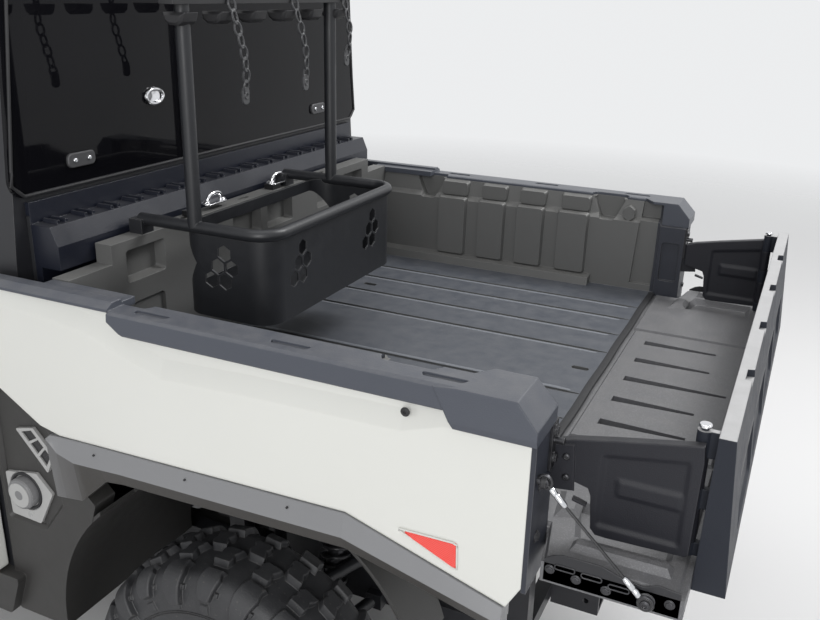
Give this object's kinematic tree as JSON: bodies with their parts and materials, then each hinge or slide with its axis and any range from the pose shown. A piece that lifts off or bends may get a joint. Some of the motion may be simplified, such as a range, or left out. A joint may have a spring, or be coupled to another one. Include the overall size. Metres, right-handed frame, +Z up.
{
  "type": "side by side utility vehicle",
  "caption": "Side by side utility vehicle with an enclosed cab, a tilting cargo bed with rack, and a tailgate folded flat as a walled bed extension.",
  "frame": {"origin": "on the ground, midway between the front bumper and the rear of the open tailgate, on the centre line", "axes": "+X forward, +Y to the vehicle's left, +Z up"},
  "size_m": [3.563, 1.65, 2.0122],
  "materials": {
    "frame_black": "satin",
    "skid_plastic": "matte",
    "engine_metal": "matte",
    "cast_steel": "matte",
    "shock_steel": "gloss",
    "cage_black": "satin",
    "roof_plastic": "matte",
    "tub_plastic": "matte",
    "textured_plastic": "textured matte",
    "dark_glass": "tinted",
    "clear_glass": "clear",
    "dash_plastic": "matte",
    "seat_fabric": "woven",
    "body_white": "gloss",
    "fascia_black": "matte",
    "lamp_glass": "clear",
    "lower_plastic": "matte",
    "silver_plastic": "satin",
    "wheel_rubber": "matte",
    "bed_plastic": "textured matte",
    "flare_grey": "matte",
    "red_lens": "gloss",
    "rack_steel": "powder coat",
    "strap_rubber": "matte",
    "zinc_steel": "bright",
    "gate_metal": "satin",
    "cable_steel": "braided",
    "tyre_rubber": "matte",
    "rim_alloy": "satin"
  },
  "bodies": {
    "chassis": {"frame": "frame_black", "hitch_receiver": "frame_black", "seat_base": "tub_plastic", "skid_plate": "skid_plastic", "engine_block": "engine_metal", "driveline": "engine_metal", "rear_knuckles": "cast_steel", "suspension_arms": "frame_black", "shocks": "shock_steel", "cab_cage": "cage_black", "roof": "roof_plastic", "cab_tub": "tub_plastic", "cab_rear_panel": "textured_plastic", "rear_glass": "dark_glass", "windshield": "clear_glass", "dashboard": "dash_plastic", "seat_cushion": "seat_fabric", "seat_back": "seat_fabric", "steering_column": "cast_steel", "front_fenders": "body_white", "front_fascia": "fascia_black", "headlamps": "lamp_glass", "front_bumper": "frame_black", "lower_body": "lower_plastic", "fuel_filler": "silver_plastic"},
    "knuckle_left": {"knuckle_left": "cast_steel"},
    "knuckle_right": {"knuckle_right": "cast_steel"},
    "wheel_fl": {"tyre_fl": "tyre_rubber", "rim_fl": "rim_alloy"},
    "wheel_fr": {"tyre_fr": "tyre_rubber", "rim_fr": "rim_alloy"},
    "wheel_rl": {"tyre_rl": "tyre_rubber", "rim_rl": "rim_alloy"},
    "wheel_rr": {"tyre_rr": "tyre_rubber", "rim_rr": "rim_alloy"},
    "steering_wheel": {"steering_wheel": "wheel_rubber"},
    "door_left": {"door_left": "body_white", "door_glass_left": "clear_glass"},
    "door_right": {"door_right": "body_white", "door_glass_right": "clear_glass"},
    "hood": {"hood": "body_white"},
    "bed": {"bed_tub": "bed_plastic", "rail_caps": "textured_plastic", "side_panels": "body_white", "rear_flares": "flare_grey", "reflectors": "red_lens", "bed_underframe": "frame_black", "rack_tubes": "rack_steel", "rack_basket": "rack_steel", "rack_holder": "strap_rubber", "bed_hardware": "zinc_steel", "tailgate": "bed_plastic", "end_panel": "gate_metal", "stay_cables": "cable_steel"},
    "flap_left": {"flap_left": "bed_plastic"},
    "flap_right": {"flap_right": "bed_plastic"}
  },
  "joints": [
    {"name": "steer_left", "type": "hinge", "parent": "chassis", "child": "knuckle_left", "pos_m": [1.3515, 0.52, 0.35516], "axis": [0, 0, 1], "range_deg": [-25, 25]},
    {"name": "steer_right", "type": "hinge", "parent": "chassis", "child": "knuckle_right", "pos_m": [1.3515, -0.52, 0.35516], "axis": [0, 0, 1], "range_deg": [-25, 25]},
    {"name": "spin_front_left", "type": "hinge", "parent": "knuckle_left", "child": "wheel_fl", "pos_m": [1.3515, 0.665, 0.35516], "axis": [0, 1, 0], "continuous": true},
    {"name": "spin_front_right", "type": "hinge", "parent": "knuckle_right", "child": "wheel_fr", "pos_m": [1.3515, -0.665, 0.35516], "axis": [0, 1, 0], "continuous": true},
    {"name": "spin_rear_left", "type": "hinge", "parent": "chassis", "child": "wheel_rl", "pos_m": [-0.7785, 0.665, 0.35516], "axis": [0, 1, 0], "continuous": true},
    {"name": "spin_rear_right", "type": "hinge", "parent": "chassis", "child": "wheel_rr", "pos_m": [-0.7785, -0.665, 0.35516], "axis": [0, 1, 0], "continuous": true},
    {"name": "steering_wheel_turn", "type": "hinge", "parent": "chassis", "child": "steering_wheel", "pos_m": [0.5215, 0.35, 1.08516], "axis": [-0.8387, 0, 0.5446], "range_deg": [-300, 300]},
    {"name": "door_left_hinge", "type": "hinge", "parent": "chassis", "child": "door_left", "pos_m": [0.7535, 0.812, 0.9], "axis": [0, 0, -1], "range_deg": [0, 65]},
    {"name": "door_right_hinge", "type": "hinge", "parent": "chassis", "child": "door_right", "pos_m": [0.7535, -0.812, 0.9], "axis": [0, 0, 1], "range_deg": [0, 65]},
    {"name": "hood_hinge", "type": "hinge", "parent": "chassis", "child": "hood", "pos_m": [0.9215, 0, 1.20216], "axis": [0, -1, 0], "range_deg": [0, 50]},
    {"name": "bed_tilt", "type": "hinge", "parent": "chassis", "child": "bed", "pos_m": [-1.3385, 0, 0.92016], "axis": [0, -1, 0], "range_deg": [0, 40]},
    {"name": "flap_left_fold", "type": "hinge", "parent": "bed", "child": "flap_left", "pos_m": [-1.7085, 0.668, 1.12], "axis": [0, 0, -1], "range_deg": [0, 90]},
    {"name": "flap_right_fold", "type": "hinge", "parent": "bed", "child": "flap_right", "pos_m": [-1.7085, -0.668, 1.12], "axis": [0, 0, 1], "range_deg": [0, 90]}
  ],
  "couplings": [
    {"joint": "steer_right", "follows": "steer_left", "ratio": 1},
    {"joint": "steering_wheel_turn", "follows": "steer_left", "ratio": 12}
  ]
}
